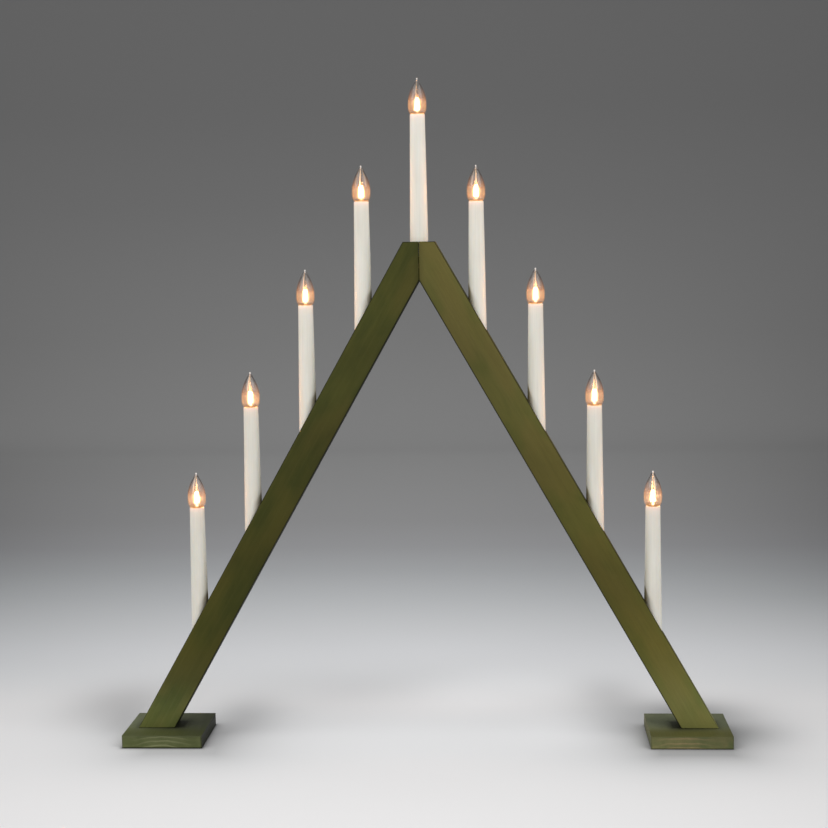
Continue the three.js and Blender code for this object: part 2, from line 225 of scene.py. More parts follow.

# Softer painted shadows behind and beside the feet, and painted patches of light between them, whose
# strength is negative: middle, reach to the side and to the back, and strength
SOFT_SHADOWS_AND_LIGHTS = [
    (-0.295, 0.097, 0.052, 0.075, 0.29),
    (-0.175, 0.072, 0.035, 0.059, 0.28),
    (-0.100, 0.164, 0.130, 0.068, 0.10),
    (0.040, 0.140, 0.080, 0.075, -0.14),
    (0.125, 0.030, 0.045, 0.050, -0.08),
    (-0.280, 0.045, 0.020, 0.045, 0.13),
    (0.170, 0.127, 0.034, 0.067, 0.22),
    (0.233, 0.073, 0.056, 0.043, 0.52),
    (0.264, 0.008, 0.052, 0.037, 0.39),
]

# How thin the legs' stain is at each share of a span up from the floor, in metres
STAIN_SPAN = 0.45
LEFT_THIN = [
    (0.04, 0.90),
    (0.067, 0.80),
    (0.09, 0.63),
    (0.12, 0.43),
    (0.16, 0.39),
    (0.28, 0.36),
    (0.36, 0.31),
    (0.45, 0.36),
    (0.60, 0.335),
    (0.68, 0.445),
    (0.755, 0.385),
    (0.83, 0.47),
    (0.90, 0.43),
]
RIGHT_THIN = [
    (0.04, 0.77),
    (0.08, 0.69),
    (0.12, 0.585),
    (0.16, 0.475),
    (0.28, 0.335),
    (0.34, 0.32),
    (0.42, 0.39),
    (0.54, 0.355),
    (0.63, 0.43),
    (0.755, 0.40),
    (0.90, 0.465),
]

# Painted reflections of the filament, faint bright streaks on each bulb's upper glass: width of them all,
# directions in degrees and strengths
REFLECTION_WIDTH = 3.5
GLASS_PAINTED_REFLECTIONS = [
    [(-78, 1.0), (-104, 0.7)],
    [(-84, 1.0), (-100, 0.9)],
    [(-96, 0.9)],
    [(-92, 1.3), (-48, 0.35), (-128, 0.3)],
    [(-96, 0.45)],
    [(-88, 1.2), (-120, 0.3)],
    [(-90, 1.0), (-104, 0.5)],
    [(-76, 1.0), (-100, 0.9)],
    [(-80, 0.9), (-101, 0.9)],
]

# How far each bulb is turned about its own axis, in degrees
BULB_TURNS = [10, 50, 95, 140, 20, 75, 120, 165, 35]


# Meshes


def ring_grid(radii, heights, centre, sides):
    """Rings round an upright line: the point at angle a is centre + (radius cos a, radius sin a, height).

    radii has one value for each height, or one for each height and angle.
    """
    heights = np.asarray(heights, float)
    radii = np.asarray(radii, float).reshape(len(heights), -1)
    radii = np.broadcast_to(radii, (len(heights), sides))
    angle = np.linspace(0, 2 * np.pi, sides, endpoint=False)
    across = radii * np.cos(angle)
    deep = radii * np.sin(angle)
    up = np.broadcast_to(heights[:, None], radii.shape)
    return np.stack([across, deep, up], axis=-1) * MM + np.asarray(centre)


def turned(profile, centre, sides):
    """Rings of a profile turned round an upright line. Each of its rows is a radius and a height."""
    return ring_grid(np.maximum(profile[:, 0], POLE_RADIUS), profile[:, 1], centre, sides)


def skin(name, grid, finish, poles=True, crease=40):
    """Closed skin over a grid of rings, with quads from each ring to the next.

    With poles, a fan to a ring's middle closes each end. Without them the last ring meets the first.
    The faces are turned over where the volume that they enclose comes out negative.
    """
    rows, sides = grid.shape[:2]
    index = np.arange(rows * sides).reshape(rows, sides)
    lower = index[:-1] if poles else index
    upper = index[1:] if poles else np.roll(index, -1, axis=0)
    quads = np.stack([lower, np.roll(lower, -1, 1), np.roll(upper, -1, 1), upper], axis=-1).reshape(-1, 4)
    points = grid.reshape(-1, 3)
    fans = np.zeros((0, 3), int)
    if poles:
        points = np.vstack([points, grid[0].mean(axis=0), grid[-1].mean(axis=0)])
        first = np.stack([np.roll(index[0], -1), index[0], np.full(sides, len(points) - 2)], axis=-1)
        last = np.stack([index[-1], np.roll(index[-1], -1), np.full(sides, len(points) - 1)], axis=-1)
        fans = np.vstack([first, last])
    triangles = np.vstack([quads[:, [0, 1, 2]], quads[:, [0, 2, 3]], fans])
    corners = (points - points.mean(axis=0))[triangles]
    volume = np.einsum("ij,ij->i", corners[:, 0], np.cross(corners[:, 1], corners[:, 2])).sum()
    turn = -1 if volume < 0 else 1
    mesh = bpy.data.meshes.new(name)
    mesh.from_pydata(points.tolist(), [], quads[:, ::turn].tolist() + fans[:, ::turn].tolist())
    mesh.polygons.foreach_set("use_smooth", np.ones(len(mesh.polygons), bool))
    mesh.set_sharp_from_angle(angle=math.radians(crease))
    mesh.materials.append(finish)
    piece = bpy.data.objects.new(name, mesh)
    bpy.context.scene.collection.objects.link(piece)
    return piece


def unit(vectors):
    return vectors / np.linalg.norm(vectors, axis=-1, keepdims=True)


def wire_grid(path, outward, radius, sides):
    """Round wire along a path: each ring lies across the path's direction and starts at the outward side."""
    along = unit(np.gradient(path, axis=0))
    side = unit(outward - (outward * along).sum(axis=-1, keepdims=True) * along)
    other = np.cross(along, side)
    angle = np.linspace(0, 2 * np.pi, sides, endpoint=False)[None, :, None]
    return path[:, None] + radius * (np.cos(angle) * side[:, None] + np.sin(angle) * other[:, None])


def arc(centre_radius, centre_height, size, start, end, steps):
    """Points of a part of a circle in a profile, from one angle to another, in degrees."""
    angle = np.radians(np.linspace(start, end, steps))
    return np.column_stack([centre_radius + size * np.cos(angle), centre_height + size * np.sin(angle)])


def vertex_places(piece):
    """Three rows, in metres: how far across, deep and high each vertex of a piece is."""
    mesh = piece.data
    places = np.empty(len(mesh.vertices) * 3)
    mesh.vertices.foreach_get("co", places)
    return places.reshape(-1, 3).T


def store(piece, name, values):
    """Keeps one number for each vertex, under the name by which a finish reads it."""
    piece.data.attributes.new(name, "FLOAT", "POINT").data.foreach_set("value", values)


def mark_heights(piece, rim):
    """Stores each vertex's height above the tube's rim, in millimetres."""
    store(piece, "above_rim", (vertex_places(piece)[2] - rim) / MM)


def mark_leg(piece, centre):
    """Stores how far each vertex of a tube is from the leg's outer edge, and how much it faces up the leg.

    The first is in millimetres, and the second is 1 at the side towards the leg. The apex tube has no such
    side, so it is marked as far away.
    """
    across, deep, up = vertex_places(piece) / MM
    middle = centre[0] / MM
    lean = math.radians(LEG_LEAN)
    away = np.abs(across) * math.cos(lean) + up * math.sin(lean) - (LEG_INNER_EDGE + LEG_WIDTH)
    facing = (middle - across) * math.copysign(1, middle) / np.hypot(across - middle, deep)
    if abs(middle) < LEG_WIDTH:
        away[:] = LEG_WIDTH
    store(piece, "from_leg", away)
    store(piece, "faces_leg", facing)


def mark_painted_reflections(piece, centre, streaks):
    """Stores the strength of painted reflections: upright streaks, each a bell curve of the direction about
    the bulb's axis.
    """
    across, deep, _ = vertex_places(piece)
    direction = np.degrees(np.arctan2(deep - centre[1], across - centre[0]))
    strength = np.zeros(len(direction))
    for middle, height in streaks:
        away = (direction - middle + 180) % 360 - 180
        strength += height * np.exp(-((away / REFLECTION_WIDTH) ** 2))
    store(piece, "streak", np.clip(strength, 0, 1))


# Finishes


def put(tree, socket, value):
    if isinstance(value, bpy.types.NodeSocket):
        tree.links.new(value, socket)
    else:
        socket.default_value = value


def add(tree, kind, values=None, **settings):
    """A new shader node. Each of values is a number, a colour or another node's output."""
    node = tree.nodes.new("ShaderNode" + kind)
    for name, value in settings.items():
        setattr(node, name, value)
    for name, value in (values or {}).items():
        put(tree, node.inputs[name], value)
    return node


def finish(name, **values):
    """A new material with one Principled shader. Underscores in the names of its inputs stand for spaces."""
    material = bpy.data.materials.new(name)
    material.use_nodes = True
    shader = material.node_tree.nodes["Principled BSDF"]
    for key, value in values.items():
        shader.inputs[key.replace("_", " ")].default_value = value
    return material, material.node_tree, shader


def colour(red, green, blue):
    return (red, green, blue, 1.0)


def object_place(tree):
    return add(tree, "TexCoord").outputs["Object"]


def axes(tree, vector):
    """The X, Y and Z of a vector."""
    return add(tree, "SeparateXYZ", {0: vector}).outputs


def stored(tree, name):
    """A number that a piece keeps for each vertex."""
    return add(tree, "Attribute", attribute_name=name).outputs["Fac"]


def stretched(tree, place, scale, turn=0.0, origin=(0, 0, 0)):
    """Place in a frame that is moved to origin and turned about Y by degrees, then scaled along its axes."""
    values = {"Vector": place, "Location": origin, "Rotation": (0, math.radians(turn), 0)}
    moved_place = add(tree, "Mapping", values, vector_type="TEXTURE").outputs[0]
    return add(tree, "VectorMath", {0: moved_place, 1: scale}, operation="MULTIPLY").outputs[0]


def noise(tree, place, scale=1.0, detail=3.0, roughness=0.5, distortion=0.0):
    values = {
        "Vector": place,
        "Scale": scale,
        "Detail": detail,
        "Roughness": roughness,
        "Distortion": distortion,
    }
    return add(tree, "TexNoise", values).outputs[0]


def mapped(tree, value, low, high, new_low=0.0, new_high=1.0, smooth=False):
    """A value taken from one range into another, held at its ends."""
    values = {"Value": value, "From Min": low, "From Max": high, "To Min": new_low, "To Max": new_high}
    kind = "SMOOTHSTEP" if smooth else "LINEAR"
    return add(tree, "MapRange", values, interpolation_type=kind).outputs[0]


def spread(tree, value, new_low=0.0, new_high=1.0, smooth=False):
    """A noise value taken from its usual range into another."""
    return mapped(tree, value, NOISE_LOW, NOISE_HIGH, new_low, new_high, smooth)


def maths(tree, operation, first, second=0.0):
    return add(tree, "Math", {0: first, 1: second}, operation=operation).outputs[0]


def times(tree, first, *others):
    """The product of two or more values."""
    for other in others:
        first = maths(tree, "MULTIPLY", first, other)
    return first


def blended(tree, share, first, second, kind="MIX"):
    node = add(tree, "Mix", data_type="RGBA", blend_type=kind)
    put(tree, node.inputs[0], share)
    put(tree, node.inputs[6], first)
    put(tree, node.inputs[7], second)
    return node.outputs[2]


def tinted(tree, shade, tone):
    """A colour multiplied by a tone or by another colour."""
    return blended(tree, 1.0, shade, tone, "MULTIPLY")


def ramp(tree, value, stops):
    """Colours along a value. Each stop is a place and a colour."""
    node = add(tree, "ValToRGB", {"Fac": value})
    band = node.color_ramp
    while len(band.elements) < len(stops):
        band.elements.new(1.0)
    for element, (place, shade) in zip(band.elements, stops):
        element.position = place
        element.color = (shade, shade, shade, 1.0) if isinstance(shade, float) else shade
    return node.outputs["Color"]


def shade_round(tree, across, depth, x, y, half_width, half_depth, reach):
    """A shade that is 1 in a rectangle about (x, y) and falls off with e to the minus distance over reach."""
    parts = []
    for value, middle, half in ((across, x, half_width), (depth, y, half_depth)):
        offset = maths(tree, "ABSOLUTE", maths(tree, "SUBTRACT", value, middle))
        outside = maths(tree, "MAXIMUM", maths(tree, "SUBTRACT", offset, half), 0.0)
        parts.append(times(tree, outside, outside))
    distance = maths(tree, "SQRT", maths(tree, "ADD", *parts))
    return maths(tree, "EXPONENT", maths(tree, "DIVIDE", distance, -reach))


def lessened(tree, tone, shade, strength):
    """A tone that a shade of some strength takes down. A negative strength raises it."""
    return times(tree, tone, maths(tree, "SUBTRACT", 1.0, times(tree, shade, strength)))


def growth_rings(tree, place, direction, scale, distortion, detail_scale):
    """Growth rings of wood about one axis. Each ring rises slowly and ends sharply."""
    values = {
        "Vector": place,
        "Scale": scale,
        "Distortion": distortion,
        "Detail": 2.0,
        "Detail Scale": detail_scale,
    }
    settings = {"wave_type": "RINGS", "rings_direction": direction, "wave_profile": "SAW"}
    return add(tree, "TexWave", values, **settings).outputs["Fac"]


def bump(tree, height, strength, distance):
    values = {"Height": height, "Strength": strength, "Distance": distance}
    return add(tree, "Bump", values).outputs[0]


def edge_share(tree, turn=0.0):
    """0 on the flat sides of a bar or plate that leans by turn degrees, and up to 1 on its eased edges."""
    values = {"Vector": add(tree, "TexCoord").outputs["Normal"], "Angle": math.radians(-turn)}
    level = add(tree, "VectorRotate", values, rotation_type="Y_AXIS").outputs[0]
    straight = add(tree, "VectorMath", {0: level}, operation="ABSOLUTE").outputs[0]
    parts = axes(tree, straight)
    largest = maths(tree, "MAXIMUM", maths(tree, "MAXIMUM", parts[0], parts[1]), parts[2])
    return mapped(tree, largest, 0.99, 0.75)


def leg_stain(name, turn, pith, tones, thin_tones, low_tint):
    """Softwood bar under an uneven green-brown stain, with fine streaks along the bar.

    tones are its three tones. thin_tones tells how thin and pale the stain is at each height, and low_tint
    is the tint that it takes on near the foot. It is greyer higher up, a little darker towards the inner edge
    and the mitre, and has a nearly black painted shade along the inner edge for its inner face in shadow.
    """
    dark, middle, light = tones
    material, tree, shader = finish(name, Specular_IOR_Level=0.12)
    place = object_place(tree)
    across, _, height = axes(tree, place)
    along = stretched(tree, place, (1.0, 1.0, 1.0), turn, pith)
    rings_place = stretched(tree, place, (1.0, 1.0, 0.16), turn, pith)
    growth = growth_rings(tree, rings_place, "Z", 105.0, 3.5, 0.35)
    streaks = noise(tree, stretched(tree, place, (700.0, 700.0, 16.0), turn), 1.0, 4.0, 0.6)
    pores = noise(tree, stretched(tree, place, (2400.0, 2400.0, 130.0), turn), 1.0, 2.0, 0.5)
    patches = noise(tree, stretched(tree, along, (55.0, 55.0, 26.0)), 1.0, 2.0, 0.5, 0.5)
    cloud_place = stretched(tree, along, (40.0, 40.0, 17.0), origin=(0.31, 0.17, 0.11))
    cloud = noise(tree, cloud_place, 1.0, 2.0, 0.45)
    shade = blended(tree, mapped(tree, patches, 0.30, 0.66, smooth=True), dark, middle)
    shade = blended(tree, mapped(tree, cloud, 0.42, 0.66, 0.0, 0.9, smooth=True), shade, light)
    line = mapped(tree, growth, 0.62, 0.95, smooth=True)
    shade = blended(tree, times(tree, line, 0.04), shade, colour(0.17, 0.15, 0.055))
    thinness = ramp(tree, mapped(tree, height, 0.0, STAIN_SPAN), thin_tones)
    values = {0: place, 1: across_leg(turn)}
    reach = add(tree, "VectorMath", values, operation="DOT_PRODUCT").outputs["Value"]
    from_inner = maths(tree, "SUBTRACT", reach, LEG_INNER_EDGE * MM)
    from_mitre = maths(tree, "ABSOLUTE", across)
    tone = times(
        tree,
        spread(tree, streaks, 0.95, 1.05),
        mapped(tree, pores, 0.35, 0.6, 0.95, 1.02),
        times(tree, thinness, 2.0),
        mapped(tree, from_inner, 0.0, LEG_WIDTH * MM, 0.92, 1.07),
        mapped(tree, from_mitre, 0.0, 0.005, 0.78, 1.0),
    )
    shade = tinted(tree, shade, tone)
    high_share = mapped(tree, height, 0.17, 0.30)
    greyer = blended(tree, high_share, colour(1.0, 1.0, 0.86), colour(1.0, 1.0, 1.12))
    shade = tinted(tree, shade, greyer)
    shade = blended(tree, mapped(tree, height, 0.085, 0.035), shade, low_tint, "MULTIPLY")
    # Painted shade along the inner edge, for the leg's inner face in shadow
    inner_edge_shade = mapped(tree, from_inner, 0.0012, 0.0004, 0.0, 0.8)
    shade = blended(tree, inner_edge_shade, shade, colour(0.006, 0.006, 0.003))
    edge = times(
        tree,
        edge_share(tree, turn),
        mapped(tree, from_mitre, 0.002, 0.006, 0.0, 0.8),
        mapped(tree, height, 0.0118, 0.0140, 0.15, 1.0),
    )
    shade = blended(tree, edge, shade, colour(0.008, 0.008, 0.003))
    put(tree, shader.inputs["Base Color"], shade)
    sheen = maths(tree, "ADD", spread(tree, streaks, 0.5, 0.62), mapped(tree, line, 0, 1, 0, -0.04))
    put(tree, shader.inputs["Roughness"], sheen)
    relief = maths(tree, "ADD", mapped(tree, streaks, 0.2, 0.8), times(tree, growth, 0.25))
    relief = maths(tree, "ADD", relief, times(tree, pores, 0.4))
    put(tree, shader.inputs["Normal"], bump(tree, relief, 0.3, 0.00010))
    return material


def across_leg(turn):
    """Direction square to a leg that leans by turn degrees, outwards and up."""
    lean = math.radians(turn)
    return (math.copysign(math.cos(lean), -turn), 0.0, math.sin(abs(lean)))


def foot_stain(name, pith, tones, arcs, olive, top_tones, front_tones, right_side, leg_middle, leg_shade):
    """Stained plate: a few soft growth arcs on its front and back, and a top painted greyer as a sheen, olive
    towards the front.

    tones are the two tones of its sides, arcs is the colour of the arcs and olive that of the top's front.
    top_tones and front_tones are the brightness of the top and the front at their left and right, and
    right_side that of the side that faces right, a painted shade. The top is darker along its back edge, and
    the front is darker near its upper edge and a little lighter low down. A painted contact shadow darkens
    the plate's lowest 1.6 mm. leg_middle is the middle of the leg's lower end, which has a thin painted
    contact shadow round it and a painted shadow beside its inner corner. leg_shade is the strength of a broad
    painted shadow in front of it.
    """
    material, tree, shader = finish(name, Specular_IOR_Level=0.2)
    place = object_place(tree)
    across, depth, height = axes(tree, place)
    facing_right, facing_back, facing_up = axes(tree, add(tree, "TexCoord").outputs["Normal"])
    top = mapped(tree, facing_up, 0.5, 0.9)
    front = mapped(tree, facing_back, -0.5, -0.9)
    growth = growth_rings(tree, stretched(tree, place, (0.62, 0.22, 1.0), 0.0, pith), "Y", 78.0, 5.0, 0.8)
    streaks = noise(tree, stretched(tree, place, (260.0, 24.0, 420.0)), 1.0, 3.0, 0.55)
    patches = noise(tree, stretched(tree, place, (60.0, 40.0, 90.0)), 1.0, 2.0, 0.5, 0.3)
    grain = noise(tree, place, 1500.0, 2.0, 0.5)
    shade = blended(tree, spread(tree, patches, smooth=True), *tones)
    # The top's back part is painted greyer as a sheen, and olive towards the front
    sheened_top_tones = (colour(0.094, 0.104, 0.060), colour(0.122, 0.132, 0.076))
    top_shade = blended(tree, spread(tree, patches), *sheened_top_tones)
    top_shade = blended(tree, mapped(tree, depth, 0.004, -0.026, smooth=True), top_shade, olive)
    side_tone = mapped(tree, across, leg_middle - 0.025, leg_middle + 0.040, *top_tones)
    side_tone = maths(tree, "POWER", side_tone, mapped(tree, depth, -0.010, -0.028, 1.0, 0.5))
    shade = blended(tree, top, shade, tinted(tree, top_shade, side_tone))
    off_pith = maths(tree, "ABSOLUTE", maths(tree, "SUBTRACT", across, pith[0]))
    arc_share = times(
        tree,
        mapped(tree, growth, 0.50, 0.95, smooth=True),
        mapped(tree, off_pith, 0.006, 0.028, 0.60, 0.0),
        mapped(tree, front, 0, 1, 0.15, 1),
    )
    shade = blended(tree, arc_share, shade, arcs)
    # Streaks and grain, a painted shade on the side that faces right, and a painted contact shadow low down
    tone = times(
        tree,
        spread(tree, streaks, 0.94, 1.06),
        spread(tree, grain, 0.97, 1.03),
        mapped(tree, facing_right, 0.5, 0.9, 1.0, right_side),
        mapped(tree, height, 0.0005, 0.0016, 0.62, 1.0),
    )
    back_edge = times(tree, top, mapped(tree, depth, 0.0310, 0.0340))
    tone = lessened(tree, tone, back_edge, 0.26)
    front_tone = times(
        tree,
        mapped(tree, across, leg_middle - 0.040, leg_middle + 0.025, *front_tones),
        mapped(tree, height, 0.0065, 0.0115, 1.0, 0.80),
        mapped(tree, height, 0.0020, 0.0045, 1.15, 1.0),
    )
    tone = times(tree, tone, maths(tree, "POWER", front_tone, front))
    inward = math.copysign(0.018, -leg_middle)
    # Painted shadows round the leg's lower end: beside its inner corner, a thin contact shadow, and one in
    # front
    painted_leg_shadows = [
        (leg_middle + inward, 0.0, 0.005, 0.009, 0.0034, 0.66),
        (leg_middle, 0.0, LEG_END_HALF, LEG_HALF_DEPTH, 0.0025, 0.38),
        (leg_middle + inward * 0.5, -0.012, 0.011, 0.002, 0.0065, leg_shade),
    ]
    for *rectangle, reach, strength in painted_leg_shadows:
        contact = times(tree, shade_round(tree, across, depth, *rectangle, reach), top)
        tone = lessened(tree, tone, contact, strength)
    shade = tinted(tree, shade, tone)
    edge = times(tree, edge_share(tree), mapped(tree, depth, -0.0345, -0.030, 0.2, 0.55))
    shade = blended(tree, edge, shade, colour(0.016, 0.018, 0.008))
    put(tree, shader.inputs["Base Color"], shade)
    put(tree, shader.inputs["Roughness"], spread(tree, streaks, 0.46, 0.6))
    relief = maths(tree, "ADD", times(tree, growth, 0.25), streaks)
    put(tree, shader.inputs["Normal"], bump(tree, relief, 0.2, 0.00010))
    return material


def bare_wood(name):
    """Pale dowel wood with fine pores along X."""
    material, tree, shader = finish(name, Roughness=0.75)
    pores = noise(tree, stretched(tree, object_place(tree), (60.0, 1400.0, 1400.0)), 1.0, 3.0)
    tones = [(NOISE_LOW, colour(0.42, 0.29, 0.16)), (NOISE_HIGH, colour(0.62, 0.45, 0.27))]
    put(tree, shader.inputs["Base Color"], ramp(tree, pores, tones))
    put(tree, shader.inputs["Normal"], bump(tree, pores, 0.3, 0.0001))
    return material


def painted_seat_shade(tree, shade, across):
    """Painted shades of a tube where it meets its leg.

    The darkest one fills the narrow corner on the side towards the leg, and is narrower and lower on the left
    leg. A faint one goes on round that side.
    """
    from_leg = stored(tree, "from_leg")
    faces_leg = stored(tree, "faces_leg")
    on_right = mapped(tree, across, -0.01, 0.01)
    facing = maths(tree, "SUBTRACT", faces_leg, mapped(tree, on_right, 0.0, 1.0, 0.11, 0.0))
    reach = times(tree, mapped(tree, facing, 0.60, 0.90, 0.3, 2.1), on_right)
    near = maths(tree, "SUBTRACT", from_leg, reach)
    strength = ramp(tree, facing, [(0.36, 0.0), (0.54, 0.42), (0.68, 0.58), (0.82, 0.87), (0.90, 1.0)])
    corner = times(tree, mapped(tree, near, 3.1, 5.6, 1.0, 0.0, smooth=True), strength)
    shade = blended(tree, corner, shade, colour(0.37, 0.33, 0.22), "MULTIPLY")
    low_part = mapped(tree, from_leg, 3.4, 7.4, 0.18, 0.0, smooth=True)
    seat = times(tree, low_part, mapped(tree, faces_leg, -0.25, 0.35))
    return blended(tree, seat, shade, colour(0.0, 0.0, 0.0))


def candle_plastic(name):
    """Glossy off-white plastic with faint upright streaks, a little translucent.

    Warm light from the bulb is painted in as a glow in the tube's top few millimetres, and painted light
    makes the higher tubes a little paler.
    """
    material, tree, shader = finish(
        name,
        Subsurface_Weight=0.25,
        Subsurface_Radius=(1.0, 0.7, 0.45),
        Subsurface_Scale=0.0025,
        IOR=1.49,
    )
    place = object_place(tree)
    across, _, from_floor = axes(tree, place)
    flow = noise(tree, stretched(tree, place, (260.0, 260.0, 9.0)), 1.0, 2.0)
    clouds = noise(tree, stretched(tree, place, (120.0, 120.0, 30.0)), 1.0, 2.0)
    streaks = noise(tree, stretched(tree, place, (1100.0, 1100.0, 8.0)), 1.0, 2.0)
    shade = blended(tree, spread(tree, clouds), colour(0.77, 0.724, 0.63), colour(0.81, 0.772, 0.68))
    # Streaks, and a painted gradient of light that makes the higher tubes a little paler
    tone = times(tree, spread(tree, streaks, 0.95, 1.03), mapped(tree, from_floor, 0.15, 0.50, 0.93, 1.06))
    # Painted shade where the tube meets its leg
    shade = painted_seat_shade(tree, tinted(tree, shade, tone), across)
    # Painted glow of the bulb's warm light in the tube's top few millimetres
    height = stored(tree, "above_rim")
    glow_stops = [(0.0, 0.0), (0.55, 0.10), (0.80, 0.40), (0.95, 1.0), (1.0, 0.6)]
    glow = ramp(tree, mapped(tree, height, -20.0, 0.0), glow_stops)
    put(tree, shader.inputs["Base Color"], shade)
    put(tree, shader.inputs["Roughness"], spread(tree, clouds, 0.09, 0.15))
    put(tree, shader.inputs["Normal"], bump(tree, flow, 0.25, 0.0002))
    put(tree, shader.inputs["Emission Color"], colour(1.0, 0.32, 0.16))
    put(tree, shader.inputs["Emission Strength"], times(tree, glow, 0.22))
    return material


def moulded_plastic(name, shade, roughness):
    """Moulded plastic with a faint fine texture."""
    material, tree, shader = finish(name)
    place = object_place(tree)
    texture = noise(tree, place, 2600.0, 2.0)
    clouds = noise(tree, place, 180.0, 2.0)
    lighter = colour(*[min(1.0, part * 1.25) for part in shade])
    put(tree, shader.inputs["Base Color"], blended(tree, spread(tree, clouds), colour(*shade), lighter))
    put(tree, shader.inputs["Roughness"], spread(tree, texture, roughness - 0.06, roughness + 0.06))
    put(tree, shader.inputs["Normal"], bump(tree, texture, 0.2, 0.00004))
    return material


def worn_metal(name, dull, bright, roughness):
    """Plated metal with faint stains and fine marks."""
    material, tree, shader = finish(name, Metallic=1.0)
    place = object_place(tree)
    stains = noise(tree, place, 420.0, 3.0)
    marks = noise(tree, stretched(tree, place, (900.0, 900.0, 5200.0)), 1.0, 2.0)
    put(tree, shader.inputs["Base Color"], blended(tree, mapped(tree, stains, 0.35, 0.7), dull, bright))
    put(tree, shader.inputs["Roughness"], spread(tree, marks, roughness - 0.07, roughness + 0.1))
    put(tree, shader.inputs["Normal"], bump(tree, marks, 0.15, 0.00002))
    return material


def bulb_glass(name):
    """Thin clear glass with a dark ring of painted shade at its neck.

    An amber glow for the lit filament's light is painted into its lower two thirds, a few bright streaks
    above are painted reflections of the filament, and the tip has a painted highlight.
    """
    material, tree, shader = finish(name, IOR=1.47, Transmission_Weight=1.0)
    height = stored(tree, "above_rim")
    up_glass = mapped(tree, height, 0.0, 30.0)
    specks = mapped(tree, noise(tree, object_place(tree), 9000.0, 1.0), 0.40, 0.66, 0.0, 0.66)
    below_top = mapped(tree, height, 10.0, 15.0, 1.0, 0.0)
    low_part = times(tree, below_top, mapped(tree, height, 3.0, 8.5, 0.6, 1.0))
    put(tree, shader.inputs["Roughness"], times(tree, specks, low_part))
    # Dark painted shade at the neck, just above the tube's rim
    tint_stops = [
        (0.0, colour(0.12, 0.07, 0.04)),
        (0.04, colour(0.20, 0.12, 0.07)),
        (0.075, colour(1.0, 0.985, 0.96)),
        (0.50, colour(1.0, 0.985, 0.96)),
        (0.65, colour(0.95, 0.93, 0.91)),
    ]
    put(tree, shader.inputs["Base Color"], ramp(tree, up_glass, tint_stops))
    # Painted glow of the filament's light in the lower glass, and a painted highlight at the tip
    glow_stops = [
        (0.0, colour(0.34, 0.20, 0.085)),
        (0.035, colour(0.26, 0.13, 0.05)),
        (0.06, colour(0.04, 0.014, 0.002)),
        (0.12, colour(0.088, 0.033, 0.004)),
        (0.20, colour(0.115, 0.043, 0.006)),
        (0.40, colour(0.098, 0.034, 0.006)),
        (0.55, colour(0.040, 0.013, 0.003)),
        (0.75, colour(0.004, 0.001, 0.0)),
        (0.955, colour(0.0, 0.0, 0.0)),
        (0.985, colour(0.30, 0.28, 0.26)),
    ]
    # Painted reflections of the filament, as bright streaks in the upper glass
    lit = times(tree, stored(tree, "streak"), mapped(tree, height, 10.0, 14.0))
    glow = blended(tree, lit, ramp(tree, up_glass, glow_stops), colour(0.72, 0.45, 0.25))
    put(tree, shader.inputs["Emission Color"], glow)
    shader.inputs["Emission Strength"].default_value = 1.0
    return material


def mount_glass(name):
    """Glass mount of the filament, with a painted warm glow because it stands right under the light."""
    tint = colour(1.0, 0.95, 0.88)
    material, tree, shader = finish(name, Roughness=0.12, IOR=1.5, Transmission_Weight=0.6, Base_Color=tint)
    put(tree, shader.inputs["Emission Color"], colour(1.0, 0.72, 0.42))
    glow = mapped(tree, stored(tree, "above_rim"), -4.0, MOUNT_TOP, 0.0, 1.6)
    put(tree, shader.inputs["Emission Strength"], glow)
    return material


def hot_filament(name):
    """Tungsten coil at white heat, which lights nothing else."""
    material, tree, shader = finish(name, Base_Color=colour(0.3, 0.28, 0.26), Metallic=1.0, Roughness=0.4)
    shader.inputs["Emission Color"].default_value = colour(1.0, 0.5, 0.2)
    bounces = add(tree, "LightPath").outputs["Diffuse Depth"]
    put(tree, shader.inputs["Emission Strength"], mapped(tree, bounces, 0.0, 1.0, 400.0, 0.0))
    material.cycles.emission_sampling = "NONE"
    return material


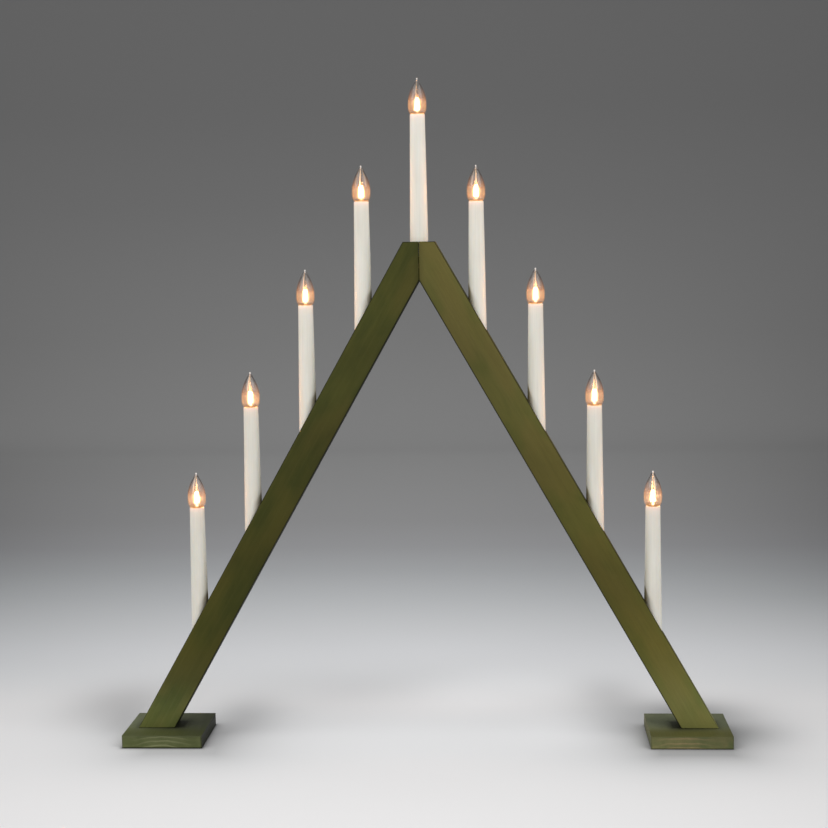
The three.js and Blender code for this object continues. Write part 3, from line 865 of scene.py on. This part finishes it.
def backdrop_paper(name):
    """Seamless paper, pale round the object, with a painted fall-off of light that darkens it behind the
    object and to its sides, and painted shadows by the feet.

    The painted side shade grows with the square of the distance from a middle line. The painted shadow and
    the thin painted contact shadow round each foot fall off with e to the minus distance from a square, and
    the softer painted shadows and patches of light are bell curves.
    """
    material, tree, shader = finish(name, Roughness=0.9, Specular_IOR_Level=0.1)
    back = mapped(tree, stored(tree, "distance_back"), PAPER_START, PAPER_START + PAPER_SPAN)
    across, depth, _ = axes(tree, object_place(tree))
    stops = [((place - PAPER_START) / PAPER_SPAN, colour(*shade)) for place, shade in PAPER_PAINTED_FALLOFF]
    middle = ramp(tree, back, stops)
    stops = [
        ((place - PAPER_START) / PAPER_SPAN, colour(fall / 2, line, 0.0)) for place, fall, line in PAPER_SIDE_SHADE
    ]
    fall, line, _ = add(tree, "SeparateColor", {0: ramp(tree, back, stops)}).outputs
    offset = maths(tree, "ADD", across, line)
    loss = times(tree, offset, offset, times(tree, fall, 2.0))
    kept = maths(tree, "MAXIMUM", maths(tree, "SUBTRACT", 1.0, loss), 0.6)
    # Painted shadow round each foot
    for x, y, strength in FOOT_SHADES:
        half = FOOT_SHADE_HALF
        shade = shade_round(tree, across, depth, x, y, half, half, FOOT_SHADE_REACH)
        kept = lessened(tree, kept, shade, strength)
    # Thin painted contact shadow round each foot
    for x, strength in FOOT_CONTACT_SHADOWS:
        half = FOOT_SIDE * MM / 2
        shade = shade_round(tree, across, depth, x, 0.0, half, half, CONTACT_SHADOW_REACH)
        kept = lessened(tree, kept, shade, strength)
    # Softer painted shadows, and painted patches of light where the strength is negative
    for x, y, reach_side, reach_back, strength in SOFT_SHADOWS_AND_LIGHTS:
        side = maths(tree, "DIVIDE", maths(tree, "SUBTRACT", across, x), reach_side)
        behind = maths(tree, "DIVIDE", maths(tree, "SUBTRACT", depth, y), reach_back)
        square = maths(tree, "ADD", times(tree, side, side), times(tree, behind, behind))
        shade = maths(tree, "EXPONENT", times(tree, square, -1.0))
        kept = lessened(tree, kept, shade, strength)
    put(tree, shader.inputs["Base Color"], tinted(tree, middle, kept))
    return material


# Frame


def dress_frame():
    """Finishes of the solids that keep their own shape."""
    left_stain = leg_stain(
        "left_leg_stain",
        turn=LEG_LEAN,
        pith=(-0.10, 0.030, 0.20),
        tones=[colour(0.052, 0.057, 0.010), colour(0.067, 0.068, 0.012), colour(0.083, 0.075, 0.014)],
        thin_tones=LEFT_THIN,
        low_tint=colour(0.96, 1.04, 1.80),
    )
    right_stain = leg_stain(
        "right_leg_stain",
        turn=-LEG_LEAN,
        pith=(0.14, 0.036, 0.17),
        tones=[colour(0.096, 0.097, 0.020), colour(0.116, 0.107, 0.024), colour(0.134, 0.112, 0.027)],
        thin_tones=RIGHT_THIN,
        low_tint=colour(0.92, 1.02, 1.45),
    )
    left_foot = foot_stain(
        "left_foot_stain",
        pith=(-0.228, 0.01, -0.0417),
        tones=[colour(0.086, 0.101, 0.033), colour(0.118, 0.132, 0.050)],
        arcs=colour(0.25, 0.26, 0.13),
        olive=colour(0.074, 0.083, 0.028),
        top_tones=(1.42, 0.56),
        front_tones=(1.05, 0.92),
        right_side=0.15,
        leg_middle=-LEG_END_MIDDLE,
        leg_shade=0.12,
    )
    right_foot = foot_stain(
        "right_foot_stain",
        pith=(0.222, 0.0, -0.050),
        tones=[colour(0.104, 0.118, 0.044), colour(0.160, 0.150, 0.060)],
        arcs=colour(0.30, 0.22, 0.11),
        olive=colour(0.084, 0.083, 0.024),
        top_tones=(1.36, 1.10),
        front_tones=(1.12, 0.88),
        right_side=0.8,
        leg_middle=LEG_END_MIDDLE,
        leg_shade=0.30,
    )
    dowel = bare_wood("dowel_beech")
    insulation = moulded_plastic("white_insulation", (0.66, 0.66, 0.63), 0.45)
    finishes = {"apex_dowel_front": dowel, "apex_dowel_rear": dowel}
    for side, stain, foot in (("left", left_stain, left_foot), ("right", right_stain, right_foot)):
        finishes[f"{side}_leg"] = stain
        finishes[f"{side}_groove_cover"] = stain
        finishes[f"{side}_foot"] = foot
        finishes[f"{side}_wiring"] = insulation
    for name, material in finishes.items():
        node = frame["nodes"][name]
        node.data.materials.clear()
        node.data.materials.append(material)


def make_screw(name, material):
    """Countersunk wood screw, point up, with a cross recess in its head and a thread on its shank."""
    low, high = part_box(name)
    centre = ((low.x + high.x) / 2, (low.y + high.y) / 2, low.z)
    length = (high.z - low.z) / MM
    sides = SMALL_SIDES
    angle = np.linspace(0, 2 * np.pi, sides, endpoint=False)
    face = np.linspace(0.08, SCREW_HEAD_RADIUS - 0.1, 30)
    across = np.abs(face[:, None] * np.cos(angle))
    deep = np.abs(face[:, None] * np.sin(angle))
    narrow = np.clip((RECESS_HALF_WIDTH - np.minimum(across, deep)) / 0.22, 0, 1)
    short = np.clip((RECESS_REACH - np.maximum(across, deep)) / 0.5, 0, 1)
    face_grid = ring_grid(face, np.zeros(len(face)), centre, sides)
    face_grid[..., 2] += RECESS_DEPTH * MM * narrow * short
    head_radii = [SCREW_HEAD_RADIUS, SCREW_HEAD_RADIUS, SCREW_RADIUS]
    head = ring_grid(head_radii, [0.1, 0.3, SCREW_HEAD_HEIGHT], centre, sides)
    shank_heights = np.linspace(SCREW_HEAD_HEIGHT + 0.2, length - 3.2, 150)
    turn = shank_heights[:, None] / SCREW_PITCH * 2 * np.pi - angle
    depth = SCREW_THREAD_DEPTH * np.clip((shank_heights[:, None] - SCREW_PLAIN) / SCREW_PITCH, 0, 1)
    shank = SCREW_RADIUS - 0.05 - depth * (0.5 + 0.5 * np.cos(turn)) ** 0.5
    shank_grid = ring_grid(shank, shank_heights, centre, sides)
    tip = ring_grid([1.1, 0.5, 0.05], [length - 2.4, length - 1.0, length - 0.02], centre, sides)
    piece = skin(name + "_threaded", np.concatenate([face_grid, head, shank_grid, tip]), material, crease=35)
    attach(piece, "holder")
    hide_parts(name)


def make_gland(material):
    """Flanged bushing whose flange has a rounded rim, turned about a line along Y."""
    low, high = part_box("cord_gland")
    flange = (high.z - low.z) / 2 / MM
    depth = (high.y - low.y) / MM
    rounded_at = depth - GLAND_ROUND
    profile = np.vstack(
        [
            [[GLAND_BORE_RADIUS, 0.0], [GLAND_RADIUS, 0.0]],
            [[GLAND_RADIUS, depth - GLAND_FLANGE - 0.1], [flange, depth - GLAND_FLANGE]],
            arc(flange - GLAND_ROUND, rounded_at, GLAND_ROUND, 0, 90, 6),
            arc(GLAND_BORE_RADIUS + GLAND_ROUND, rounded_at, GLAND_ROUND, 90, 180, 6),
        ]
    )
    upright_grid = turned(profile, (0, 0, 0), SMALL_SIDES)
    centre = np.array([(low.x + high.x) / 2, low.y, (low.z + high.z) / 2])
    piece = skin("cord_gland_bushing", upright_grid[..., [0, 2, 1]] + centre, material, poles=False)
    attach(piece, "holder")
    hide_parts("cord_gland")


# Candles


def thread_radius(heights, sides, crest, fade_low, fade_high):
    """Rounded screw thread: the radius falls and rises once in each turn's climb. It fades near both ends."""
    angle = np.linspace(0, 2 * np.pi, sides, endpoint=False)
    wave = 0.5 - 0.5 * np.cos(2 * np.pi * heights[:, None] / THREAD_PITCH - angle)
    fade = np.clip((heights - fade_low) / 0.6, 0, 1) * np.clip((fade_high - heights) / 0.6, 0, 1)
    return crest - THREAD_DEPTH * wave * fade[:, None]


def make_tube(number, centre, material):
    """Tapered tube with an eased rim and an inward lip."""
    rim = TUBE_TOP_RADIUS - TUBE_RIM_ROUND
    outside = np.linspace(-TUBE_LENGTH, -TUBE_RIM_ROUND, 30)
    share = (outside + TUBE_LENGTH) / (TUBE_LENGTH - TUBE_RIM_ROUND)
    outside_radius = TUBE_BOTTOM_RADIUS + (TUBE_TOP_RADIUS - TUBE_BOTTOM_RADIUS) * share
    profile = np.vstack(
        [
            np.column_stack([outside_radius, outside]),
            arc(rim, -TUBE_RIM_ROUND, TUBE_RIM_ROUND, 15, 90, 5),
            arc(TUBE_LIP_RADIUS + TUBE_LIP_ROUND, -TUBE_LIP_ROUND, TUBE_LIP_ROUND, 90, 180, 4),
            [[TUBE_LIP_RADIUS, -TUBE_LIP], [TUBE_INSIDE_RADIUS, -TUBE_LIP]],
            [[TUBE_BOTTOM_RADIUS - TUBE_WALL, -TUBE_LENGTH]],
        ]
    )
    grid = turned(profile, centre, CANDLE_SIDES)
    piece = skin(f"tapered_tube_{number}", grid, material, poles=False)
    mark_heights(piece, centre[2])
    mark_leg(piece, centre)
    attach(piece, "holder")
    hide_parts(f"candle_tube_{number}")


def make_lampholder(number, centre, material):
    """Cup with grip ribs outside and a thread inside that the bulb's cap follows."""
    sides = CANDLE_SIDES
    angle = np.linspace(0, 2 * np.pi, sides, endpoint=False)
    ribs = HOLDER_RIB_HEIGHT * np.clip(np.cos(HOLDER_RIBS * angle) * 3 - 2, 0, 1)
    outside_heights = np.linspace(HOLDER_BOTTOM + 0.3, HOLDER_TOP - 0.2, 8)
    outside = np.tile(HOLDER_RADIUS - HOLDER_RIB_HEIGHT + ribs, (len(outside_heights), 1))
    inside_heights = np.linspace(HOLDER_TOP, HOLDER_FLOOR_TOP + 0.2, 90)
    inside = thread_radius(
        inside_heights, sides, THREAD_CREST + THREAD_CLEARANCE, HOLDER_FLOOR_TOP, HOLDER_TOP + 0.1
    )
    parts = [
        ring_grid([0.3, HOLDER_RADIUS - 0.5], [HOLDER_BOTTOM, HOLDER_BOTTOM], centre, sides),
        ring_grid(outside, outside_heights, centre, sides),
        ring_grid([HOLDER_RADIUS - 0.25], [HOLDER_TOP], centre, sides),
        ring_grid(inside, inside_heights, centre, sides),
        ring_grid([4.7, 0.3], [HOLDER_FLOOR_TOP, HOLDER_FLOOR_TOP], centre, sides),
    ]
    piece = skin(f"threaded_lampholder_{number}", np.concatenate(parts), material)
    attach(piece, "holder")
    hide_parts(f"lampholder_{number}")


def glass_profile(inset, tip_radius, tip_height):
    """Outline of the bulb from its neck to its tip.

    The shoulder is a quarter of a superellipse of power 3 up to the widest place. The rest is one circular
    arc that starts upright there and ends at the tip.
    """
    neck = GLASS_NECK_RADIUS - inset
    widest = GLASS_WIDEST_RADIUS - inset
    angle = np.linspace(0, np.pi / 2, 22)[:-1]
    shoulder_radius = neck + (widest - neck) * np.sin(angle) ** (2 / 3)
    shoulder_height = GLASS_WIDEST_HEIGHT - (GLASS_WIDEST_HEIGHT - 0.3) * np.cos(angle) ** (2 / 3)
    rise = tip_height - GLASS_WIDEST_HEIGHT
    drop = widest - tip_radius
    size = (rise**2 + drop**2) / (2 * drop)
    sweep = np.linspace(0, math.asin(rise / size), 30)
    upper_radius = widest - size * (1 - np.cos(sweep))
    upper_height = GLASS_WIDEST_HEIGHT + size * np.sin(sweep)
    return np.column_stack(
        [np.append(shoulder_radius, upper_radius), np.append(shoulder_height, upper_height)]
    )


def make_glass(number, centre, material):
    """Blown glass with an even wall, a neck that stands in the cap and a bead where the tip was drawn off."""
    outside = glass_profile(0.0, GLASS_TIP_RADIUS, GLASS_TIP_BOTTOM)
    inside = glass_profile(GLASS_WALL, 0.05, GLASS_TIP_BOTTOM - 1.4)[::-1]
    neck = [[GLASS_NECK_RADIUS - GLASS_WALL, GLASS_NECK_BOTTOM], [GLASS_NECK_RADIUS, GLASS_NECK_BOTTOM]]
    bead = arc(0.0, GLASS_TOP - GLASS_TIP_RADIUS, GLASS_TIP_RADIUS, -20, 88, 8)
    profile = np.vstack([inside, neck, outside, bead])
    grid = turned(profile, centre, CANDLE_SIDES)
    piece = skin(f"blown_glass_{number}", grid, material, crease=80)
    mark_heights(piece, centre[2])
    mark_painted_reflections(piece, centre, GLASS_PAINTED_REFLECTIONS[number - 1])
    piece.visible_shadow = False
    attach(piece, f"bulb_{number}")
    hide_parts(f"bulb_{number}_glass")


def make_cap(number, centre, material, insulator):
    """Screw cap of thin metal with a rolled top edge, and the glass insulator under it."""
    sides = CANDLE_SIDES
    heights = np.linspace(CAP_BOTTOM + 0.3, CAP_TOP - 0.3, 80)
    outside = thread_radius(heights, sides, THREAD_CREST, CAP_BOTTOM + 0.4, CAP_TOP - 1.3)
    inside = THREAD_CREST - CAP_WALL - THREAD_DEPTH
    roll = arc(THREAD_CREST - CAP_WALL / 2, CAP_TOP - 0.2, 0.2, 0, 180, 7)
    parts = [
        ring_grid([3.2, THREAD_CREST - 0.35], [CAP_BOTTOM, CAP_BOTTOM + 0.05], centre, sides),
        ring_grid(outside, heights, centre, sides),
        turned(roll, centre, sides),
        ring_grid([inside, inside], [CAP_TOP - 1.2, CAP_BOTTOM + 0.6], centre, sides),
        ring_grid([3.2], [CAP_BOTTOM + 0.5], centre, sides),
    ]
    cap = skin(f"screw_cap_{number}", np.concatenate(parts), material, poles=False)
    profile = np.vstack(
        [
            [[0.3, INSULATOR_BOTTOM], [2.7, INSULATOR_BOTTOM]],
            arc(2.8, INSULATOR_BOTTOM + 0.4, 0.4, -70, -10, 5),
            [[4.1, CAP_BOTTOM - 0.1], [3.1, CAP_BOTTOM - 0.02]],
            [[3.1, CAP_BOTTOM + 0.5], [0.3, CAP_BOTTOM + 0.5]],
        ]
    )
    glass = skin(f"cap_insulator_{number}", turned(profile, centre, SMALL_SIDES), insulator)
    for piece, slot in ((cap, "cap_metal"), (glass, "holder_plastic")):
        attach(piece, f"bulb_{number}")
        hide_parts(f"bulb_{number}_base")


def filament_path(turn):
    """Centre line of the filament: upright lengths round the axis, joined at their tops and feet in turn.

    The line through the corners is taken at even steps of its length, and each point is then the mean of its
    near neighbours, which rounds the bends.
    """
    upright = np.repeat(np.arange(2 * FILAMENT_PEAKS), 2)
    level = np.tile([0.0, 1.0, 1.0, 0.0], FILAMENT_PEAKS)
    angle = np.radians(turn + upright * FILAMENT_SWEEP / (2 * FILAMENT_PEAKS - 1))
    radius = FILAMENT_LOW_RADIUS + (FILAMENT_HIGH_RADIUS - FILAMENT_LOW_RADIUS) * level
    height = FILAMENT_LOW + (FILAMENT_HIGH - FILAMENT_LOW) * level
    corners = np.column_stack([radius * np.cos(angle), radius * np.sin(angle), height])
    travelled = np.append(0, np.linalg.norm(np.diff(corners, axis=0), axis=1).cumsum())
    steps = np.linspace(0, travelled[-1], 1500)
    near = round(FILAMENT_BEND / steps[1])
    path = np.column_stack([np.interp(steps, travelled, line) for line in corners.T])
    padded = np.vstack([path[:1].repeat(near, axis=0), path, path[-1:].repeat(near, axis=0)])
    total = np.vstack([np.zeros(3), padded]).cumsum(axis=0)
    path = (total[2 * near + 1 :] - total[: -2 * near - 1]) / (2 * near + 1)
    outward = path * (1, 1, 0)
    return path, unit(outward)


def make_filament(number, centre, turn, hot, leads, mount):
    """Coiled filament, the two lead wires that carry it and the glass mount that they come out of."""
    path, outward = filament_path(turn)
    along = unit(np.gradient(path, axis=0))
    across = np.cross(along, outward)
    length = np.linalg.norm(np.diff(path, axis=0), axis=1).cumsum()
    turns = np.append(0, length) / COIL_PITCH * 2 * np.pi
    around = np.cos(turns)[:, None] * outward + np.sin(turns)[:, None] * across
    coil_grid = wire_grid(path + COIL_RADIUS * around, around, COIL_WIRE_RADIUS, 6) * MM + centre
    filament = skin(f"filament_{number}", coil_grid, hot)
    filament.visible_shadow = False
    filament.visible_diffuse = False
    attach(filament, f"bulb_{number}")
    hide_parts(f"bulb_{number}_base")
    for word, end in (("first", path[0]), ("second", path[-1])):
        level = np.linspace(0, 1, 24)[:, None]
        foot = np.array([end[0] * 0.3, end[1] * 0.3, LEAD_WIRE_FOOT])
        knee = np.array([end[0] * 0.35, end[1] * 0.35, MOUNT_TOP])
        line = (1 - level) ** 2 * foot + 2 * level * (1 - level) * knee + level**2 * end
        sideways = np.tile(np.array([-end[1], end[0], 0.0]) / np.hypot(end[0], end[1]), (24, 1))
        lead_grid = wire_grid(line, sideways, LEAD_WIRE_RADIUS, 8) * MM + centre
        lead = skin(f"{word}_lead_wire_{number}", lead_grid, leads)
        lead.visible_shadow = False
        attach(lead, f"bulb_{number}")
        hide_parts(f"bulb_{number}_base")
    profile = np.vstack(
        [
            [[0.05, -5.6], [3.4, -5.6], [3.4, -5.0], [1.5, -3.2]],
            [[MOUNT_RADIUS * 0.75, -1.0], [MOUNT_RADIUS * 0.7, 1.0]],
            arc(0.0, MOUNT_TOP - 1.1, 1.1, -10, 88, 9),
        ]
    )
    stem = skin(f"filament_mount_{number}", turned(profile, centre, MOUNT_SIDES), mount, crease=50)
    stem.visible_shadow = False
    mark_heights(stem, centre[2])
    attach(stem, f"bulb_{number}")
    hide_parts(f"bulb_{number}_base")


def make_contact(number, centre, material):
    """Domed solder contact: an ellipse's quarter below a short straight side."""
    angle = np.linspace(0, np.pi / 2, 14)
    dome_top = CONTACT_TOP - 0.3
    dome_height = dome_top - (dome_top - CONTACT_BOTTOM) * np.cos(angle)
    dome = np.column_stack([CONTACT_RADIUS * np.sin(angle), dome_height])
    side = [[CONTACT_RADIUS, CONTACT_TOP - 0.05], [CONTACT_RADIUS - 0.1, CONTACT_TOP], [0.05, CONTACT_TOP]]
    profile = np.vstack([dome, side])
    piece = skin(f"solder_contact_{number}", turned(profile, centre, CONTACT_SIDES), material)
    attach(piece, f"bulb_{number}_lift")
    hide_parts(f"bulb_{number}_contact")


def light_bulb(number, centre):
    """Warm light that the filament throws on the neighbouring tubes."""
    lamp = bpy.data.lights.new(f"bulb_light_{number}", "POINT")
    lamp.energy = BULB_LIGHT_POWER
    lamp.color = BULB_LIGHT_COLOUR
    lamp.shadow_soft_size = BULB_LIGHT_RADIUS * MM
    light = bpy.data.objects.new(f"bulb_light_{number}", lamp)
    light.location = (centre[0], centre[1], centre[2] + BULB_LIGHT_HEIGHT * MM)
    light.visible_camera = False
    light.visible_glossy = False
    light.visible_transmission = False
    bpy.context.scene.collection.objects.link(light)
    light.parent = frame["bodies"][f"bulb_{number}"]


def make_candles():
    plastic = candle_plastic("candle_plastic")
    socket = moulded_plastic("lampholder_plastic", (0.012, 0.012, 0.013), 0.42)
    cap_metal = worn_metal("nickelled_brass", colour(0.52, 0.47, 0.38), colour(0.66, 0.62, 0.53), 0.28)
    insulator = moulded_plastic("insulator_glass", (0.02, 0.02, 0.028), 0.18)
    solder = worn_metal("solder", colour(0.36, 0.36, 0.37), colour(0.55, 0.55, 0.55), 0.4)
    leads = worn_metal("lead_wire", colour(0.5, 0.42, 0.34), colour(0.7, 0.62, 0.52), 0.35)
    glass = bulb_glass("bulb_glass")
    mount = mount_glass("mount_glass")
    hot = hot_filament("hot_tungsten")
    for number, turn in enumerate(BULB_TURNS, start=1):
        low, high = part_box(f"candle_tube_{number}")
        centre = np.array([(low.x + high.x) / 2, (low.y + high.y) / 2, high.z])
        make_tube(number, centre, plastic)
        make_lampholder(number, centre, socket)
        make_glass(number, centre, glass)
        make_cap(number, centre, cap_metal, insulator)
        make_filament(number, centre, turn, hot, leads, mount)
        make_contact(number, centre, solder)
        light_bulb(number, centre)
    return socket


# Studio


def make_backdrop():
    """Paper sweep: a level floor, a quarter circle behind it and an upright wall, the same for every X."""
    floor = np.linspace(SWEEP_FRONT, SWEEP_BEND, 60)
    bend = np.radians(np.linspace(-90, 0, 25)[1:])
    wall = np.linspace(SWEEP_RADIUS, SWEEP_TOP, 20)[1:]
    wall_back = np.full(len(wall), SWEEP_BEND + SWEEP_RADIUS)
    back = np.concatenate([floor, SWEEP_BEND + SWEEP_RADIUS * np.cos(bend), wall_back])
    up = np.concatenate([np.zeros(len(floor)), SWEEP_RADIUS + SWEEP_RADIUS * np.sin(bend), wall])
    travelled = np.append(0, np.hypot(np.diff(back), np.diff(up)).cumsum()) + SWEEP_FRONT
    across = np.linspace(-SWEEP_HALF_WIDTH, SWEEP_HALF_WIDTH, 29)
    lines = np.broadcast_arrays(across, back[:, None], up[:, None])
    grid = np.stack(lines, axis=-1)
    index = np.arange(grid.shape[0] * grid.shape[1]).reshape(grid.shape[:2])
    quads = np.stack([index[:-1, :-1], index[:-1, 1:], index[1:, 1:], index[1:, :-1]], axis=-1)
    mesh = bpy.data.meshes.new("paper_sweep")
    mesh.from_pydata(grid.reshape(-1, 3).tolist(), [], quads.reshape(-1, 4).tolist())
    mesh.polygons.foreach_set("use_smooth", np.ones(len(mesh.polygons), bool))
    mesh.materials.append(backdrop_paper("backdrop_paper"))
    sweep = bpy.data.objects.new("paper_sweep", mesh)
    store(sweep, "distance_back", np.repeat(travelled, len(across)))
    bpy.context.scene.collection.objects.link(sweep)


def soft_box(name, place):
    """Square soft light at a place, facing the object."""
    lamp = bpy.data.lights.new(name, "AREA")
    lamp.shape = "RECTANGLE"
    lamp.size = SOFT_BOX_SIDE
    lamp.size_y = SOFT_BOX_SIDE
    lamp.energy = SOFT_BOX_POWER
    light = bpy.data.objects.new(name, lamp)
    light.location = place
    light.rotation_euler = (Vector(SOFT_BOX_TARGET) - Vector(place)).to_track_quat("-Z", "Y").to_euler()
    light.visible_camera = False
    bpy.context.scene.collection.objects.link(light)


def light_studio():
    """A very large soft light on each side, a little in front, and an even surround.

    The surround looks darker in reflections and through glass.
    """
    for name, side in (("left_light", -1), ("right_light", 1)):
        soft_box(name, (side * SOFT_BOX_ASIDE, SOFT_BOX_DEPTH, SOFT_BOX_HEIGHT))
    world = bpy.data.worlds.new("studio")
    world.use_nodes = True
    tree = world.node_tree
    ray = add(tree, "LightPath").outputs
    mirrored = maths(tree, "MAXIMUM", ray["Is Glossy Ray"], ray["Is Transmission Ray"])
    surround = blended(tree, mirrored, colour(0.72, 0.72, 0.73), colour(0.14, 0.14, 0.14))
    put(tree, tree.nodes["Background"].inputs["Color"], surround)
    bpy.context.scene.world = world


def place_camera():
    """Camera fitted to the photograph's edges, a little right of the middle and looking slightly down."""
    yaw, pitch, roll = np.radians([CAMERA_YAW, CAMERA_PITCH, CAMERA_ROLL])
    level = math.cos(pitch)
    forward = Vector((math.sin(yaw) * level, math.cos(yaw) * level, -math.sin(pitch)))
    right = Vector((math.cos(yaw), -math.sin(yaw), 0))
    up = right.cross(forward)
    side = right * math.cos(roll) + up * math.sin(roll)
    top = up * math.cos(roll) - right * math.sin(roll)
    lens = bpy.data.cameras.new("camera")
    lens.sensor_width = CAMERA_SENSOR
    lens.lens = CAMERA_LENS
    camera = bpy.data.objects.new("camera", lens)
    axis_columns = Matrix((side, top, -forward)).transposed()
    camera.matrix_world = Matrix.Translation(CAMERA_PLACE) @ axis_columns.to_4x4()
    bpy.context.scene.collection.objects.link(camera)
    bpy.context.scene.camera = camera


dress_frame()
socket_plastic = make_candles()
steel = worn_metal("zinc_plated_steel", colour(0.5, 0.5, 0.47), colour(0.72, 0.71, 0.66), 0.3)
for side in ("left", "right"):
    for place in ("front", "rear"):
        make_screw(f"{side}_foot_screw_{place}", steel)
make_gland(socket_plastic)
make_backdrop()
light_studio()
place_camera()
bpy.context.scene.view_settings.view_transform = "Standard"
